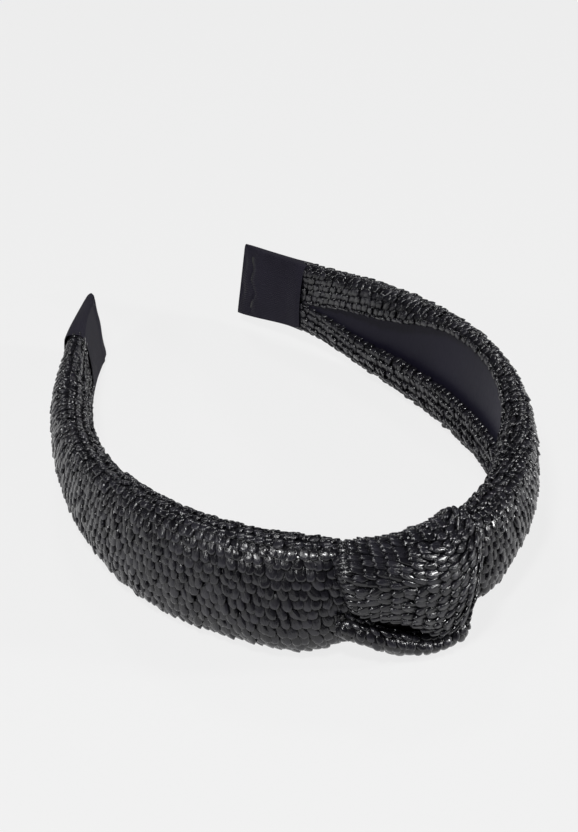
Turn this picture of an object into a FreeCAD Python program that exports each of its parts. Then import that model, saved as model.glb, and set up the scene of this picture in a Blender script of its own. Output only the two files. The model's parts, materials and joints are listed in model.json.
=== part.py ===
import FreeCAD, Part
import math
import os

# Knotted straw headband, lying on its lower edge.
# X runs across the head, +Y from the knot towards the two tips, +Z up the width of the strap.
# Everything is placed by its distance along the hoop's centre line, measured from the crown.

doc = FreeCAD.newDocument("knotted_headband")
sheet = doc.addObject("Spreadsheet::Sheet", "sizes")

SIZES = [
    ("hoop_half_length", 190.0),     # crown to tip along the centre line
    ("crown_radius", 46.0),          # bend of the hoop under the knot
    ("tip_radius", 1800.0),          # bend of the hoop at its tips, nearly straight
    ("tip_lean", 2.8),               # how far a tip's upper edge leans out over its lower edge
    ("hoop_thickness", 1.8),
    ("hoop_margin", 2.6),            # strap edge to hoop edge
    ("hinge_distance", 20.0),        # crown to the line where an arm starts to flex
    ("nose_clearance", 0.06),
    ("socket_setback", 0.35),
    ("lining_thickness", 0.5),
    ("strap_half_thickness", 5.8),   # half the folded strap, over its rolled edges
    ("strap_end_half", 2.9),         # the same where the strap meets the ribbon
    ("straw_thickness", 1.5),
    ("strap_start", 21.6),           # crown to the first straw of an arm
    ("taper_start", 128.0),          # where the folded strap starts to thin towards the ribbon
    ("ribbon_start", 168.6),
    ("ribbon_half_thickness", 2.3),
    ("ribbon_tip_half", 1.7),
    ("ribbon_thickness", 0.6),
    ("padding_end", 150.0),
    ("layer_gap", 0.08),
    ("knot_left_end", 19.2),         # crown to the wrap's left edge
    ("knot_right_end", 14.0),
    ("core_end", 19.4),              # crown to the end of the gathered strap inside the knot
    ("knot_cloth", 2.2),             # thickness of the straw over the top of the knot
    ("knot_base_width", 12.0),       # width of the flat that the knot rests on
    ("knot_base_cut", 0.4),          # straw planed off under the knot to make that flat
]
for row, (alias, value) in enumerate(SIZES, start=1):
    sheet.set("A%d" % row, alias)
    sheet.set("B%d" % row, str(value))
    sheet.setAlias("B%d" % row, alias)
doc.recompute()


def size(alias):
    return float(getattr(sheet, alias))


HALF_LENGTH = size("hoop_half_length")
HOOP_HALF = size("hoop_thickness") / 2.0
LINING_IN = -HOOP_HALF - size("layer_gap") - size("lining_thickness")
GAP = size("layer_gap")
LEFT, RIGHT = -1.0, 1.0

# Heights of the strap's lower and upper edge at these shares of the half length.
SHARES = [0.0, 0.15, 0.35, 0.55, 0.75, 0.88, 1.0]
LOW_EDGE = {LEFT: [5.0, 1.8, 0.6, 1.2, 2.4, 2.2, 0.3], RIGHT: [6.0, 6.4, 3.0, 0.3, 2.4, 6.0, 4.0]}
HIGH_EDGE = {
    LEFT: [29.0, 31.5, 31.0, 27.0, 24.0, 23.5, 20.6],
    RIGHT: [29.0, 29.5, 32.0, 32.6, 29.4, 26.6, 25.4],
}

# How far round each hem rolls over its edge (degrees) and how far it then runs on, at the same shares.
UPPER_ROLL = {LEFT: [180.0] * 7, RIGHT: [180.0, 180.0, 118.0, 104.0, 168.0, 180.0, 180.0]}
UPPER_RUN = {LEFT: [3.4, 3.4, 2.0, 2.2, 5.0, 8.6, 8.6], RIGHT: [3.4, 3.4, 0.6, 0.6, 3.0, 8.2, 8.6]}
LOWER_ROLL = {LEFT: [180.0] * 7, RIGHT: [180.0] * 7}
LOWER_RUN = {LEFT: [3.4, 3.4, 3.6, 3.8, 2.4, 5.2, 5.6], RIGHT: [3.4, 3.4, 3.8, 4.4, 2.8, 5.2, 5.6]}


def smooth_between(shares, values, share):
    """Reads a list of values with smooth steps between its entries."""
    for i in range(len(shares) - 1):
        if share <= shares[i + 1]:
            part = (share - shares[i]) / (shares[i + 1] - shares[i])
            part = max(0.0, part)
            break
    else:
        return values[-1]
    before = values[max(i - 1, 0)]
    after = values[min(i + 2, len(values) - 1)]
    slope_in = (values[i + 1] - before) / 2.0
    slope_out = (after - values[i]) / 2.0
    p2, p3 = part * part, part ** 3
    return ((2 * p3 - 3 * p2 + 1) * values[i] + (p3 - 2 * p2 + part) * slope_in
            + (3 * p2 - 2 * p3) * values[i + 1] + (p3 - p2) * slope_out)


def heading(distance):
    """Angle turned by the centre line; its curvature falls evenly from crown to tip."""
    crown_bend = 1.0 / size("crown_radius")
    tip_bend = 1.0 / size("tip_radius")
    return crown_bend * distance + (tip_bend - crown_bend) * distance ** 2 / (2.0 * HALF_LENGTH)


def centre_point(distance):
    """X and Y of the centre line on the +X side, by adding up short steps."""
    steps = 200
    step = distance / steps
    x = sum(math.cos(heading((i + 0.5) * step)) for i in range(steps)) * step
    y = sum(math.sin(heading((i + 0.5) * step)) for i in range(steps)) * step
    return x, y


def at(side, distance, out, height, middle=None):
    """A point `out` millimetres outside the centre line; `middle` is the height it leans about."""
    x, y = centre_point(distance)
    angle = heading(distance)
    if middle is not None:
        share = distance / HALF_LENGTH
        lean = size("tip_lean") / 21.0 * share ** 2
        out, height = (out + (height - middle) * lean, height - out * lean)
    return FreeCAD.Vector(side * (x + out * math.sin(angle)), y - out * math.cos(angle), height)


def edges_at(side, distance):
    share = distance / HALF_LENGTH
    return (smooth_between(SHARES, LOW_EDGE[side], share), smooth_between(SHARES, HIGH_EDGE[side], share))


def strap_half(distance):
    """Half the folded strap's thickness, which thins towards the ribbon."""
    start, end = size("taper_start"), size("ribbon_start")
    part = min(max((distance - start) / (end - start), 0.0), 1.0)
    part = part * part * (3.0 - 2.0 * part)
    return size("strap_half_thickness") * (1 - part) + size("strap_end_half") * part


def stations(start, end, step=12.0):
    count = max(2, int(math.ceil((end - start) / step)))
    return [start + (end - start) * i / count for i in range(count + 1)]


def wire(points):
    return Part.makePolygon(points + [points[0]])


def loft(sections):
    return Part.makeLoft([wire(points) for points in sections], True, False)


def add_feature(label, shape):
    node = doc.addObject("Part::Feature", label)
    node.Label = label
    node.Shape = shape
    return node


def arm_band(side, start, end, outline):
    """Lofts outline(distance, low, high), a list of (out, height), along one arm."""
    sections = []
    for distance in stations(start, end):
        low, high = edges_at(side, distance)
        middle = (low + high) / 2.0
        points = outline(distance, low, high)
        sections.append([at(side, distance, out, height, middle) for out, height in points])
    return loft(sections)


def rectangle(inner, outer, low, high):
    return [(inner, low), (outer, low), (outer, high), (inner, high)]


def hoop_outline(distance, low, high):
    margin = size("hoop_margin") if distance < size("ribbon_start") else size("ribbon_thickness") + 0.4
    return rectangle(-HOOP_HALF, HOOP_HALF, low + margin, high - margin)


def lining_outline(distance, low, high):
    margin = size("hoop_margin")
    return rectangle(LINING_IN, -HOOP_HALF - GAP, low + margin, high - margin)


def padding_outline(distance, low, high):
    face = strap_half(distance) - size("straw_thickness") - GAP
    edge = strap_half(distance) + 0.4
    crown = 1.2
    return [(HOOP_HALF + GAP, low + edge - crown), (face, low + edge + crown),
            (face, high - edge - crown), (HOOP_HALF + GAP, high - edge + crown)]


def straw_outer_outline(distance, low, high):
    half = strap_half(distance)
    edge = half + 0.3 + GAP
    return rectangle(half - size("straw_thickness"), half, low + edge, high - edge)


def rolled_edge(half, thickness, roll, run):
    """A hem seen along the strap: (out, distance below the edge), from the outer face over the edge."""
    steps = 7
    turn = math.radians(roll) / steps
    inside = half - thickness
    outer = [(half * math.cos(i * turn), half - half * math.sin(i * turn)) for i in range(steps + 1)]
    inner = [(inside * math.cos(i * turn), half - inside * math.sin(i * turn)) for i in range(steps + 1)]
    ahead = (-run * math.sin(steps * turn), -run * math.cos(steps * turn))
    hem_end = [(out + ahead[0], drop + ahead[1]) for out, drop in (outer[-1], inner[-1])]
    face_end = half + 0.3
    return [(half, face_end)] + outer + hem_end + inner[::-1] + [(inside, face_end)]


def hem_section(distance, low, high, rolls, runs, share_of_height):
    """The two hems never meet: each keeps to its own share of the strap's height."""
    half = strap_half(distance)
    share = distance / HALF_LENGTH
    roll = min(smooth_between(SHARES, rolls, share), 180.0)
    room = (high - low) * share_of_height - half
    run = max(min(smooth_between(SHARES, runs, share), room), 0.5)
    return rolled_edge(half, size("straw_thickness"), roll, run)


def upper_hem_outline(side):
    def outline(distance, low, high):
        section = hem_section(distance, low, high, UPPER_ROLL[side], UPPER_RUN[side], 0.55)
        return [(out, high - drop) for out, drop in section]
    return outline


def lower_hem_outline(side):
    def outline(distance, low, high):
        section = hem_section(distance, low, high, LOWER_ROLL[side], LOWER_RUN[side], 0.43)
        return [(out, low + drop) for out, drop in section]
    return outline


def ribbon_block(side, inset, start, end):
    """A tapering block round the tip; inset shrinks it to the hollow inside the ribbon."""
    def outline(distance, low, high):
        part = (distance - size("ribbon_start")) / (HALF_LENGTH - size("ribbon_start"))
        half = size("ribbon_half_thickness") * (1 - part) + size("ribbon_tip_half") * part - inset
        return [(-half, low + inset + 0.6), (-half + 0.5, low + inset), (half - 0.5, low + inset),
                (half, low + inset + 0.6), (half, high - inset - 0.6), (half - 0.5, high - inset),
                (-half + 0.5, high - inset), (-half, high - inset - 0.6)]
    return arm_band(side, start, end, outline)


def make_ribbon(label, side):
    """The ribbon is a sleeve folded over the hoop's tip, closed at the end."""
    outside = ribbon_block(side, 0.0, size("ribbon_start"), HALF_LENGTH)
    inset = size("ribbon_thickness")
    hollow_start = size("ribbon_start") - 1.0
    hollow = ribbon_block(side, inset, hollow_start, HALF_LENGTH - inset)
    return add_feature(label, outside.cut(hollow))


def hinge_cylinder(side, radius, low, high):
    axis_point = at(side, size("hinge_distance"), 0.0, low)
    return Part.makeCylinder(radius, high - low, axis_point, FreeCAD.Vector(0, 0, 1))


def make_hoop_arm(label, side):
    """Plastic hoop from the flex line to just inside the ribbon, with a socket at the flex line."""
    start = size("hinge_distance") + size("socket_setback")
    end = HALF_LENGTH - size("ribbon_thickness") - 0.4
    body = arm_band(side, start, size("ribbon_start") - 0.5, hoop_outline)
    tongue = arm_band(side, size("ribbon_start") - 0.5, end, tip_outline)
    socket = hinge_cylinder(side, HOOP_HALF + size("nose_clearance"), -5.0, 45.0)
    return add_feature(label, body.fuse(tongue).removeSplitter().cut(socket))


def tip_outline(distance, low, high):
    half = size("ribbon_tip_half") - size("ribbon_thickness") - 0.15
    margin = size("hoop_margin")
    return rectangle(-min(half, HOOP_HALF), min(half, HOOP_HALF), low + margin, high - margin)


def signed_at(place, out, height):
    """A point by signed distance along the crown: negative is the left side."""
    side = LEFT if place < 0 else RIGHT
    return at(side, abs(place), out, height)


def crown_loft(places, outline):
    return loft([[signed_at(place, out, height) for out, height in outline(place)] for place in places])


CROWN_LOW, CROWN_HIGH = 7.2, 27.0


def crown_strip(label, inner, outer, reach, low, high):
    places = [-reach, -reach / 2.0, 0.0, reach / 2.0, reach]
    return add_feature(label, crown_loft(places, lambda place: rectangle(inner, outer, low, high)))


def make_hoop_crown():
    """Plastic hoop under the knot; its ends are round noses on the two flex lines."""
    reach = size("hinge_distance")
    places = [-reach, -reach / 2.0, 0.0, reach / 2.0, reach]
    strip = crown_loft(places, lambda place: rectangle(-HOOP_HALF, HOOP_HALF, CROWN_LOW, CROWN_HIGH))
    for side in (LEFT, RIGHT):
        strip = strip.fuse(hinge_cylinder(side, HOOP_HALF, CROWN_LOW, CROWN_HIGH))
    return add_feature("hoop_crown", strip)


# The knot: shares run from its left end (0) to its right end (1).
KNOT_SHARES = [0.0, 0.2, 0.45, 0.7, 0.9, 1.0]
WRAP_FRONT = [8.6, 11.2, 12.6, 13.0, 12.2, 10.2]
WRAP_TOP = [33.6, 35.0, 36.0, 36.8, 36.8, 36.0]
WRAP_BOTTOM = [13.5, 12.0, 9.6, 8.0, 8.0, 9.0]
LOBE_FRONT = [7.4, 9.6, 11.4, 11.6, 10.6, 8.6]
LOBE_TOP = [9.4, 8.6, 7.2, 6.6, 6.8, 7.6]


def knot_share(place):
    return (place + size("knot_left_end")) / (size("knot_left_end") + size("knot_right_end"))


def wrap_outline(place):
    """An upside-down U: the pad in front, over the top of the strap and down its back."""
    share = knot_share(place)
    front = smooth_between(KNOT_SHARES, WRAP_FRONT, share)
    top = smooth_between(KNOT_SHARES, WRAP_TOP, share)
    bottom = smooth_between(KNOT_SHARES, WRAP_BOTTOM, share)
    cloth = size("knot_cloth")
    back = -7.6
    inside_front, inside_back, inside_top = 6.2, back + cloth, top - cloth - 1.2
    return [(inside_front, bottom + 1.0), (front - 1.6, bottom), (front, bottom + 4.0), (front, top - 9.0),
            (front - 3.4, top - 3.0), (3.0, top), (-4.0, top - 1.0), (back, top - 5.0), (back, 11.0),
            (inside_back, 11.0), (inside_back, inside_top - 3.0), (-3.4, inside_top), (3.4, inside_top),
            (inside_front, inside_top - 3.0)]


def lobe_outline(place):
    """A U under the strap, with the fat lower fold of the knot in front."""
    share = knot_share(place)
    front = smooth_between(KNOT_SHARES, LOBE_FRONT, share)
    top = smooth_between(KNOT_SHARES, LOBE_TOP, share)
    back = -7.4
    half_base = size("knot_base_width") / 2.0
    hollow = core_edges(place)[0] - 0.4
    below = -size("knot_base_cut")
    return [(-half_base + 2.0, below), (half_base, below), (front - 1.0, 1.6), (front, 4.2),
            (front - 1.4, top - 0.6), (6.0, top - 0.4), (6.0, hollow + 2.6), (3.4, hollow),
            (-3.0, hollow), (-5.6, hollow + 2.6), (-5.6, 10.4), (back, 10.4), (back, 3.0)]


def knot_places(trim):
    left, right = -size("knot_left_end") + trim, size("knot_right_end") - trim
    return [left + (right - left) * share for share in KNOT_SHARES]


CORE_SHARES = [0.0, 0.25, 0.5, 0.75, 1.0]
CORE_LOW = [3.8, 4.2, 4.8, 5.6, 6.2]
CORE_HIGH = [30.0, 30.0, 30.0, 30.0, 29.8]


def core_edges(place):
    share = (place + size("core_end")) / (2.0 * size("core_end"))
    return smooth_between(CORE_SHARES, CORE_LOW, share), smooth_between(CORE_SHARES, CORE_HIGH, share)


def core_outline(place):
    """The gathered strap inside the knot: a C round the hoop, open on the inner side."""
    low, high = core_edges(place)
    front, back, inner = 5.8, -5.3, LINING_IN - GAP
    slot = HOOP_HALF + GAP
    top, bottom = CROWN_HIGH + 0.4, CROWN_LOW - 0.4
    return [(back, low + 9.0), (back, low + 2.6), (back + 2.6, low), (front - 2.6, low), (front, low + 2.6),
            (front, high - 2.6), (front - 2.6, high), (back + 2.6, high), (back, high - 2.6),
            (back, high - 9.0), (inner, high - 9.0), (inner, top), (slot, top), (slot, bottom),
            (inner, bottom), (inner, low + 9.0)]


def inner_fold_outline(place):
    """The strip of straw that closes the knot behind the hoop, between the core's two edges."""
    low, high = core_edges(place)
    return rectangle(-5.0, LINING_IN - GAP, low + 9.0 + GAP, high - 9.0 - GAP)


def make_lobe():
    """The lowest fold of the knot, planed flat at height 0 where the headband rests on it."""
    depth = size("knot_base_cut") + 1.0
    planed = Part.makeBox(200.0, 200.0, depth, FreeCAD.Vector(-100.0, -100.0, -depth))
    add_feature("knot_lobe", crown_loft(knot_places(0.6), lobe_outline).cut(planed))


def make_knot():
    add_feature("knot_wrap", crown_loft(knot_places(0.0), wrap_outline))
    make_lobe()
    reach = size("core_end")
    places = [-reach, -reach / 2.0, 0.0, reach / 2.0, reach]
    add_feature("knot_core", crown_loft(places, core_outline))
    add_feature("knot_inner_fold", crown_loft(places, inner_fold_outline))


def make_arm(word, side):
    start = size("strap_start")
    ribbon = size("ribbon_start") - GAP
    make_hoop_arm("hoop_" + word, side)
    add_feature("lining_" + word, arm_band(side, start, ribbon - 2.0, lining_outline))
    add_feature("padding_" + word, arm_band(side, start, size("padding_end"), padding_outline))
    add_feature("straw_outer_" + word, arm_band(side, start, ribbon, straw_outer_outline))
    add_feature("straw_upper_hem_" + word, arm_band(side, start, ribbon, upper_hem_outline(side)))
    add_feature("straw_lower_hem_" + word, arm_band(side, start, ribbon, lower_hem_outline(side)))
    make_ribbon("ribbon_" + word, side)


make_hoop_crown()
crown_strip("lining_crown", LINING_IN, -HOOP_HALF - GAP, size("core_end") - 0.6, CROWN_LOW, CROWN_HIGH)
make_knot()
make_arm("left", LEFT)
make_arm("right", RIGHT)
doc.recompute()

# The row's origin is the middle of the underside, so every node moves by the same amount.
nodes = [thing for thing in doc.Objects if thing.isDerivedFrom("Part::Feature")]
whole = FreeCAD.BoundBox()
for node in nodes:
    whole.add(node.Shape.optimalBoundingBox(True, False))
shift = FreeCAD.Vector(-whole.Center.x, -whole.Center.y, -whole.ZMin)
for node in nodes:
    node.Placement = FreeCAD.Placement(shift, FreeCAD.Rotation())
doc.recompute()

os.makedirs("parts", exist_ok=True)
for node in nodes:
    bad_state = "Invalid" in node.State or "Error" in node.State
    if bad_state or node.Shape.isNull() or not node.Shape.isValid():
        raise RuntimeError("bad shape: " + node.Label)
    node.Shape.exportStep("parts/%s.step" % node.Label)
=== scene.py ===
"""Looks for the knotted straw headband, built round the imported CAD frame.

Lengths in this file are millimetres, and metres() turns them into the frame's metres. A place along the
hoop is its distance from the crown, negative on the left arm and positive on the right.
"""
import json
import math
import bpy
import numpy as np
from mathutils import Matrix, Vector


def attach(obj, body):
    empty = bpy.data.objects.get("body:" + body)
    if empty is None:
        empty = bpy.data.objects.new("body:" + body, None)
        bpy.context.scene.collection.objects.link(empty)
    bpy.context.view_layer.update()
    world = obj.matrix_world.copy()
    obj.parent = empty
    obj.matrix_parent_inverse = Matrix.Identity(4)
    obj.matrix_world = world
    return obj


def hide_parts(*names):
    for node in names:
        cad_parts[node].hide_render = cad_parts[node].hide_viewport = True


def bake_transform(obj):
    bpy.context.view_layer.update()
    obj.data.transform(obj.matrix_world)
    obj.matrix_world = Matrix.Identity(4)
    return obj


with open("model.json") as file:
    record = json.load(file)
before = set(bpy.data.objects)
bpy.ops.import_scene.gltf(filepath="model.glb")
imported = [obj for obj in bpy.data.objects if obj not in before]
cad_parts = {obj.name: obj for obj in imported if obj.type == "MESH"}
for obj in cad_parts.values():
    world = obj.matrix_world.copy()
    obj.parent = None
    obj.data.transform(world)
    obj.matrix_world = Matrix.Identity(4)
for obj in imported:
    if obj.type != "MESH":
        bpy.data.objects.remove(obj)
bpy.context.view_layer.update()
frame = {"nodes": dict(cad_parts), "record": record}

MM = 0.001
LEFT, RIGHT = -1, 1
WORD = {LEFT: "left", RIGHT: "right"}

# ---------------------------------------------------------------------------------------------- hoop
HALF_LENGTH, CROWN_RADIUS, TIP_RADIUS, TIP_LEAN = 190.0, 46.0, 1800.0, 2.8 / 21.0
HINGE_DISTANCE, RIBBON_START = 20.0, 168.6
STRAP_HALF, STRAP_END_HALF, TAPER_START = 5.8, 2.9, 128.0
SHARES = np.array([0.0, 0.15, 0.35, 0.55, 0.75, 0.88, 1.0])
LOW_EDGE = {LEFT: [5.0, 1.8, 0.6, 1.2, 2.4, 2.2, 0.3], RIGHT: [6.0, 6.4, 3.0, 0.3, 2.4, 6.0, 4.0]}
HIGH_EDGE = {
    LEFT: [29.0, 31.5, 31.0, 27.0, 24.0, 23.5, 20.6],
    RIGHT: [29.0, 29.5, 32.0, 32.6, 29.4, 26.6, 25.4],
}
UPPER_ROLL = {LEFT: [180.0] * 7, RIGHT: [180.0, 180.0, 118.0, 104.0, 168.0, 180.0, 180.0]}
UPPER_RUN = {LEFT: [3.4, 3.4, 2.0, 2.2, 5.0, 8.6, 8.6], RIGHT: [3.4, 3.4, 0.6, 0.6, 3.0, 8.2, 8.6]}
LOWER_RUN = {LEFT: [3.4, 3.4, 3.6, 3.8, 2.4, 5.2, 5.6], RIGHT: [3.4, 3.4, 3.8, 4.4, 2.8, 5.2, 5.6]}


def smooth_between(shares, values, share):
    """Smooth steps between the entries of a list, as the CAD has them. share is an array."""
    values = np.asarray(values, float)
    share = np.clip(np.asarray(share, float), shares[0], shares[-1])
    i = np.clip(np.searchsorted(shares, share, side="right") - 1, 0, len(shares) - 2)
    p = (share - shares[i]) / (shares[i + 1] - shares[i])
    before, after = values[np.maximum(i - 1, 0)], values[np.minimum(i + 2, len(values) - 1)]
    slope_in, slope_out = (values[i + 1] - before) / 2.0, (after - values[i]) / 2.0
    p2, p3 = p * p, p ** 3
    return ((2 * p3 - 3 * p2 + 1) * values[i] + (p3 - 2 * p2 + p) * slope_in
            + (3 * p2 - 2 * p3) * values[i + 1] + (p3 - p2) * slope_out)


def smoothstep(x, start, end):
    p = np.clip((np.asarray(x, float) - start) / (end - start), 0.0, 1.0)
    return p * p * (3.0 - 2.0 * p)


def hump(x, middle, reach):
    """A smooth hump, 1 at the middle and nearly 0 two reaches away."""
    return np.exp(-((x - middle) / reach) ** 2)


def signed_power(x, power):
    return np.sign(x) * np.abs(x) ** power


def heading(distance):
    """The hoop's direction: its bend eases from the crown's radius to the tip's."""
    crown, tip = 1.0 / CROWN_RADIUS, 1.0 / TIP_RADIUS
    return crown * distance + (tip - crown) * distance ** 2 / (2.0 * HALF_LENGTH)


# The hoop's centre line, as a table of x and y by the distance from the crown.
LINE_STEP, LINE_LENGTH = 0.1, 200.0
LINE_S = np.arange(0.0, LINE_LENGTH + LINE_STEP / 10.0, LINE_STEP)
LINE_HEADING = heading((LINE_S[1:] + LINE_S[:-1]) / 2.0)
LINE_X = np.concatenate([[0.0], np.cumsum(np.cos(LINE_HEADING) * LINE_STEP)])
LINE_Y = np.concatenate([[0.0], np.cumsum(np.sin(LINE_HEADING) * LINE_STEP)])

HINGES = {j["name"]: Vector(j["pos_m"]) / MM for j in frame["record"]["behaviour"]["joints"]}
SHIFT_X = (HINGES["left_flex"].x + HINGES["right_flex"].x) / 2.0
SHIFT_Y = HINGES["left_flex"].y - float(np.interp(HINGE_DISTANCE, LINE_S, LINE_Y))


def at(place, out, height, middle=None):
    """Points (..., 3) `out` outside the hoop's centre line; they lean about `middle`, as the CAD's arms do."""
    place, out, height = np.broadcast_arrays(*(np.asarray(v, float) for v in (place, out, height)))
    distance = np.abs(place)
    if middle is not None:
        lean = TIP_LEAN * (distance / HALF_LENGTH) ** 2
        out, height = out + (height - middle) * lean, height - out * lean
    angle = heading(distance)
    x = np.interp(distance, LINE_S, LINE_X) + out * np.sin(angle)
    y = np.interp(distance, LINE_S, LINE_Y) - out * np.cos(angle)
    return np.stack([np.where(place < 0.0, -x, x) + SHIFT_X, y + SHIFT_Y, height], axis=-1)


def metres(points):
    return np.asarray(points, float) * MM


def edges_at(side, distance):
    share = np.asarray(distance, float) / HALF_LENGTH
    return smooth_between(SHARES, LOW_EDGE[side], share), smooth_between(SHARES, HIGH_EDGE[side], share)


def strap_half(distance):
    taper = smoothstep(distance, TAPER_START, RIBBON_START)
    return STRAP_HALF * (1.0 - taper) + STRAP_END_HALF * taper


# ------------------------------------------------------------------------------------------ surfaces
ROWS = 27            # rows of plaited straw from one hem's fold to the other
ROW_MM = 2.5         # a row's height as the leaf's own shape is drawn
FOLD_TURN = math.radians(110.0)
FOLD_SHARE = 0.36    # radius of a hem's folded end, as a share of the strap's half thickness
# A hem runs on by at most this share of the strap's height, less its half thickness, and by at least
# SHORTEST_RUN.
UPPER_ROOM, LOWER_ROOM, SHORTEST_RUN = 0.55, 0.43, 0.5
# The outer face: the height where it is fullest, how square it is, and what it adds to the CAD's section.
BELLY_SHARE, BELLY_POWER = 0.42, 0.72
CREST_PLACES = [0.0, 13.0, 20.0, 60.0, 90.0, 130.0, 190.0]
CREST_EXTRA = {LEFT: [0.0, 0.0, 0.9, 0.9, 0.2, 0.0, 0.0], RIGHT: [0.0, 0.0, 0.3, 0.2, 0.5, 0.4, 0.2]}
BELLY_SWELL = {LEFT: [-1.2, -1.2, 0.9, 0.1, -0.8, -0.5, 0.0], RIGHT: [-1.2, -1.2, 0.5, -0.4, 0.0, 0.3, 0.2]}
# Beside the knot the strap is drawn together: its lower edge drops and its lower face swells.
DROP_PLACE, DROP_REACH, GATHER_DROP = 24.0, 11.0, {LEFT: 1.4, RIGHT: 2.6}
GATHER_PLACE, GATHER_REACH = {LEFT: 30.0, RIGHT: 22.0}, {LEFT: 10.0, RIGHT: 7.0}
GATHER_SWELL = {LEFT: 1.9, RIGHT: 0.9}
GATHER_TURN, GATHER_WIDTH = -0.5, 0.7     # radians round the outer face


def hem_path(half, turn, run, fold):
    """(out, drop below the edge) from the strap's edge inwards: the roll, the flat hem and its folded end."""
    angle = np.linspace(math.pi / 2.0, turn, 24)
    out, drop = half * np.cos(angle), half - half * np.sin(angle)
    ahead = np.array([-math.sin(turn), -math.cos(turn)])
    straight = np.linspace(0.0, run, 14)[1:, None] * ahead + [out[-1], drop[-1]]
    curl = np.linspace(0.0, FOLD_TURN, 16)[1:] + turn
    folded = fold * np.stack([np.cos(curl) - math.cos(turn), math.sin(turn) - np.sin(curl)], axis=1)
    return np.concatenate([np.stack([out, drop], axis=1), straight, folded + straight[-1]])


def hem_run(runs, share, room):
    return min(max(float(smooth_between(SHARES, runs, share)), SHORTEST_RUN), max(room, SHORTEST_RUN))


def strap_path(side, distance):
    """(out, height) from the lower hem's end, round the outer face, to the upper hem's end."""
    share = distance / HALF_LENGTH
    low, high = (float(v) for v in edges_at(side, distance))
    low -= GATHER_DROP[side] * hump(distance, DROP_PLACE, DROP_REACH)
    high += float(np.interp(distance, CREST_PLACES, CREST_EXTRA[side]))
    half = float(strap_half(distance))
    turn_up = math.radians(min(float(smooth_between(SHARES, UPPER_ROLL[side], share)), 180.0))
    run_up = hem_run(UPPER_RUN[side], share, (high - low) * UPPER_ROOM - half)
    run_down = hem_run(LOWER_RUN[side], share, (high - low) * LOWER_ROOM - half)
    upper = hem_path(half, turn_up, run_up, FOLD_SHARE * half)
    lower = hem_path(half, math.pi, run_down, FOLD_SHARE * half)
    upper[:, 1] = high - upper[:, 1]
    lower[:, 1] = low + lower[:, 1]
    belly = low + BELLY_SHARE * (high - low)
    swell = half + float(np.interp(distance, CREST_PLACES, BELLY_SWELL[side]))
    turn = np.linspace(-math.pi / 2.0, math.pi / 2.0, 60)[1:-1]
    reach = np.where(turn > 0.0, high - belly, belly - low)
    outer = np.stack([swell * np.cos(turn) ** BELLY_POWER, belly + reach * np.sin(turn)], axis=1)
    gather = GATHER_SWELL[side] * hump(distance, GATHER_PLACE[side], GATHER_REACH[side])
    outer[:, 0] += gather * hump(turn, GATHER_TURN, GATHER_WIDTH)
    return np.concatenate([lower[::-1], outer, upper])


def spline(points, count=160):
    """A Catmull-Rom curve through (out, height) points, as count points spread evenly over its spans."""
    points = np.asarray(points, float)
    first = 2.0 * points[..., :1, :] - points[..., 1:2, :]
    last = 2.0 * points[..., -1:, :] - points[..., -2:-1, :]
    p = np.concatenate([first, points, last], axis=-2)
    spans = points.shape[-2] - 1
    u = np.linspace(0.0, spans - 1e-9, count)
    i = np.floor(u).astype(int)
    f = (u - i)[:, None]
    a, b, c, d = (p[..., i + k, :] for k in range(4))
    return 0.5 * (2 * b + (c - a) * f + (2 * a - 5 * b + 4 * c - d) * f ** 2
                  + (3 * b - a - 3 * c + d) * f ** 3)


SECTION_LAST = 199   # number of even steps along a section's path
HAND_POINTS = 30     # a path of at most this many points is drawn as a curve through them


class Section:
    """A strip of cloth wrapped round the strap: a path in (out, height) for each place along the crown."""

    def __init__(self, places, paths):
        self.places = np.asarray(places, float)
        curves = [np.asarray(path) if len(path) > HAND_POINTS else spline(path) for path in paths]
        even = []
        for curve in curves:
            step = np.linalg.norm(np.diff(curve, axis=0), axis=1)
            length = np.concatenate([[0.0], np.cumsum(step)])
            new = np.linspace(0.0, length[-1], SECTION_LAST + 1)
            even.append(np.stack([np.interp(new, length, curve[:, k]) for k in (0, 1)], axis=1))
        self.length = float(np.mean([np.linalg.norm(np.diff(e, axis=0), axis=1).sum() for e in even]))
        self.table = np.array(even)

    def look(self, place, along):
        """Point and outward normal in (out, height) at a distance along the path."""
        last = len(self.places) - 1
        i = np.clip(np.interp(place, self.places, np.arange(last + 1)), 0, last - 1e-9)
        j = np.clip(np.asarray(along) / self.length * SECTION_LAST, 0.0, SECTION_LAST - 1e-9)
        i0, j0 = np.floor(i).astype(int), np.floor(j).astype(int)
        fi, fj = (i - i0)[..., None], (j - j0)[..., None]
        t = self.table
        near = t[i0, j0] * (1 - fj) + t[i0, j0 + 1] * fj
        far = t[i0 + 1, j0] * (1 - fj) + t[i0 + 1, j0 + 1] * fj
        point = near * (1 - fi) + far * fi
        low, high = np.maximum(j0 - 3, 0), np.minimum(j0 + 4, SECTION_LAST)
        tangent = (t[i0, high] - t[i0, low]) * (1 - fi) + (t[i0 + 1, high] - t[i0 + 1, low]) * fi
        tangent /= np.maximum(np.linalg.norm(tangent, axis=-1, keepdims=True), 1e-9)
        return point, np.stack([tangent[..., 1], -tangent[..., 0]], axis=-1)


# The knot, with its sizes at shares from its left end to its right end.
KNOT_LEFT, KNOT_RIGHT = -19.2, 14.0
KNOT_SHARES = np.array([0.0, 0.2, 0.45, 0.7, 0.9, 1.0])
WRAP_FRONT = [9.6, 11.4, 12.6, 13.0, 12.2, 10.2]
WRAP_TOP = [31.2, 31.6, 31.6, 32.0, 32.4, 33.6]
WRAP_BOTTOM = [17.2, 15.8, 12.4, 6.6, 7.4, 9.6]
LOBE_FRONT = [7.4, 9.6, 11.6, 12.2, 11.2, 8.8]
LOBE_TOP = [14.6, 13.2, 9.2, 6.4, 8.2, 9.4]
LOBE_FOOT = [7.4, 5.4, 1.9, 0.3, 0.3, 1.2]


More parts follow.
